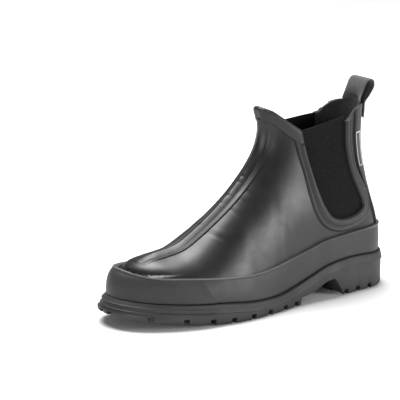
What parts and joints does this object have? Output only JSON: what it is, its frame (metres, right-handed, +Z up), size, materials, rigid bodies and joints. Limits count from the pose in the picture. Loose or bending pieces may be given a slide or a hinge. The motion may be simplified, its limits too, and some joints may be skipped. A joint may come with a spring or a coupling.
{
  "type": "rubber ankle boot",
  "caption": "Pull-on rubber ankle boot for the left foot, with elastic side gussets, a back pull loop, a foxing band, a toe bumper and a lugged sole with a low block heel.",
  "frame": {"origin": "centre of the heel's flat spot, on the plane the boot stands on", "axes": "+X from heel to toe, +Y to the outer side of the left foot, +Z up from the floor"},
  "size_m": [0.2758, 0.096, 0.1746],
  "materials": {
    "gloss_rubber": "satin black, soft highlights",
    "band_rubber": "semi-matt black",
    "sole_rubber": "matt black",
    "elastic": "matt, fine upright ribs",
    "webbing": "woven dark grey",
    "lining": "matt knitted"
  },
  "bodies": {
    "root": {"outsole": "sole_rubber", "upper": "gloss_rubber", "insole": "lining", "foxing": "band_rubber", "toe_bumper": "band_rubber", "front_strip": "gloss_rubber", "back_strip": "gloss_rubber", "collar_binding": "gloss_rubber", "gusset_frame_outer": "gloss_rubber", "gusset_frame_inner": "gloss_rubber", "elastic_outer": "elastic", "elastic_inner": "elastic", "pull_loop": "webbing"}
  },
  "joints": []
}
